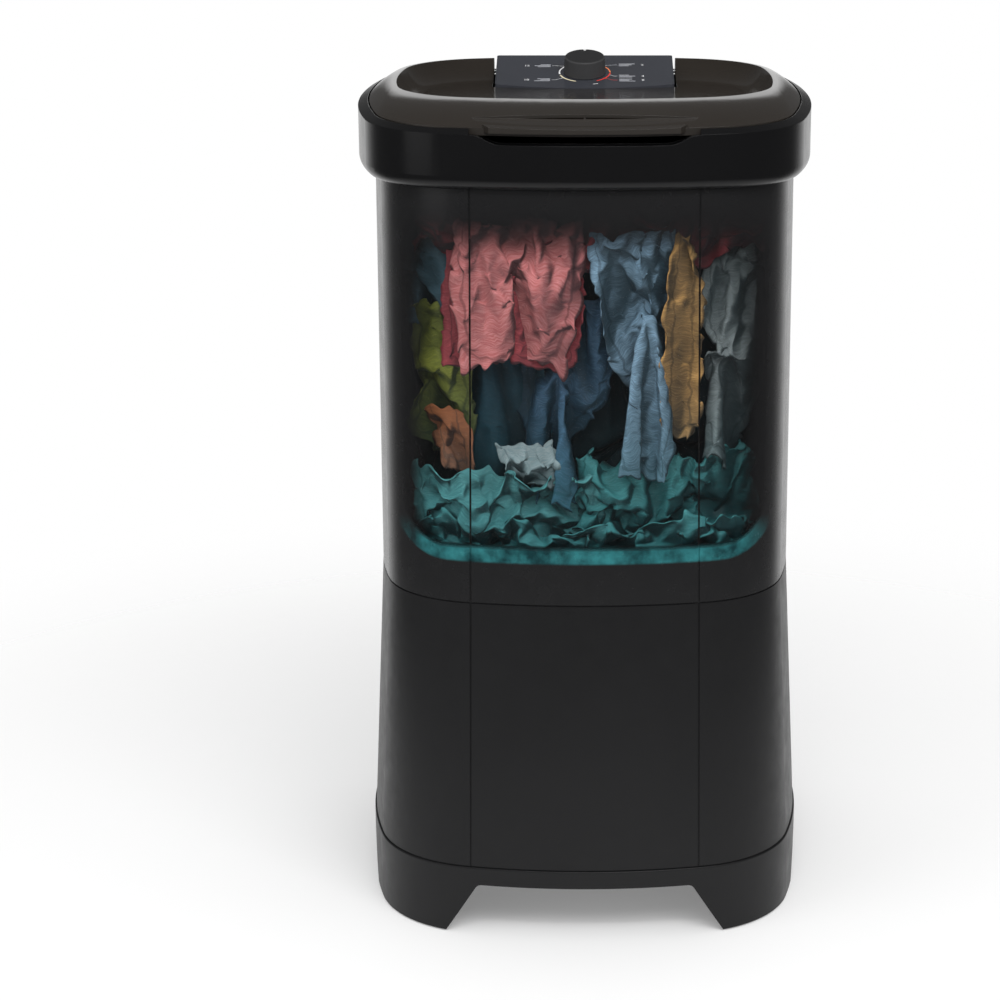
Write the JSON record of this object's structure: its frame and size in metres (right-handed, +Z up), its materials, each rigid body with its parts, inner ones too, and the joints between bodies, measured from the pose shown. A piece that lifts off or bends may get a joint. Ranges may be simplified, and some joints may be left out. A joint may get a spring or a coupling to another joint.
{
  "type": "washing machine",
  "caption": "Top-loading pulsator washing machine with a flared skirt on arched feet, a one-wall tub, a dished hinged lid, a rear console with a timer knob, and a belt drive.",
  "frame": {"origin": "centre of the footprint on the floor", "axes": "+Z up, +X to the right, the front faces -Y"},
  "size_m": [0.56, 0.5438, 1.0536],
  "materials": {
    "body_black": "satin moulded plastic with a fine grain",
    "tub_smoke": "dark glossy moulded plastic, smoked and clearer at the front",
    "rim_black": "polished black moulded plastic",
    "lid_smoke": "polished smoked brown-black plastic",
    "console_grey": "glossy dark blue-grey plastic",
    "knob_black": "satin black plastic with a light pointer",
    "inner_grey": "plain grey moulded plastic",
    "pulsator_teal": "glossy moulded plastic",
    "rubber_black": "matt rubber",
    "steel": "zinc plated steel",
    "cast_alloy": "die-cast aluminium",
    "bronze": "sintered bronze",
    "motor_paint": "black painted steel shell"
  },
  "bodies": {
    "cabinet": {"base": "body_black", "foot_pads": "rubber_black", "lower_cabinet": "body_black", "rear_panel": "body_black", "panel_screws": "steel", "cord_gland": "rubber_black", "base_screws": "steel", "seam_screws": "steel", "frame_screws": "steel", "tub": "tub_smoke", "top_frame": "rim_black", "lid_bumpers": "rubber_black", "lid_hinge_pins": "steel", "console_housing": "console_grey", "fascia_plate": "console_grey", "console_screws": "steel", "timer_body": "inner_grey", "shaft_seal": "rubber_black", "bearing_housing": "cast_alloy", "upper_bush": "bronze", "lower_bush": "bronze", "bearing_bolts": "steel", "motor_bracket": "steel", "bracket_bolts": "steel", "motor_housing": "motor_paint", "motor_mounts": "rubber_black", "motor_bolts": "steel", "drive_belt": "rubber_black", "capacitor": "inner_grey", "capacitor_clip": "steel", "drain_elbow": "inner_grey", "drain_grate": "inner_grey", "inlet_spigot": "inner_grey"},
    "lid": {"lid": "lid_smoke"},
    "timer": {"timer_knob": "knob_black", "timer_shaft": "steel"},
    "filter_left": {"lint_filter_left": "inner_grey"},
    "filter_right": {"lint_filter_right": "inner_grey"},
    "pulsator_shaft": {"pulsator": "pulsator_teal", "hub_cap": "pulsator_teal", "pulsator_screw": "steel", "spindle": "steel", "drive_pulley": "cast_alloy", "pulley_nut": "steel"},
    "motor_rotor": {"motor_shaft": "steel", "motor_pulley": "cast_alloy"}
  },
  "joints": [
    {"name": "lid_hinge", "type": "hinge", "parent": "cabinet", "child": "lid", "pos_m": [0, 0.228, 1.022], "axis": [-1, 0, 0], "range_deg": [0, 95]},
    {"name": "timer_turn", "type": "hinge", "parent": "cabinet", "child": "timer", "pos_m": [0, 0.181, 1.02545], "axis": [0, 0.2534, -0.9673], "range_deg": [0, 300]},
    {"name": "filter_left_lift", "type": "slide", "parent": "cabinet", "child": "filter_left", "axis": [0, 0, 1], "range_m": [0, 0.06]},
    {"name": "filter_right_lift", "type": "slide", "parent": "cabinet", "child": "filter_right", "axis": [0, 0, 1], "range_m": [0, 0.06]},
    {"name": "pulsator_spin", "type": "hinge", "parent": "cabinet", "child": "pulsator_shaft", "pos_m": [0, 0, 0.48], "axis": [0, 0, 1], "continuous": true},
    {"name": "motor_spin", "type": "hinge", "parent": "cabinet", "child": "motor_rotor", "pos_m": [0.165, 0, 0.322], "axis": [0, 0, 1], "continuous": true}
  ],
  "couplings": [
    {"joint": "motor_spin", "follows": "pulsator_spin", "ratio": 4.4348}
  ]
}
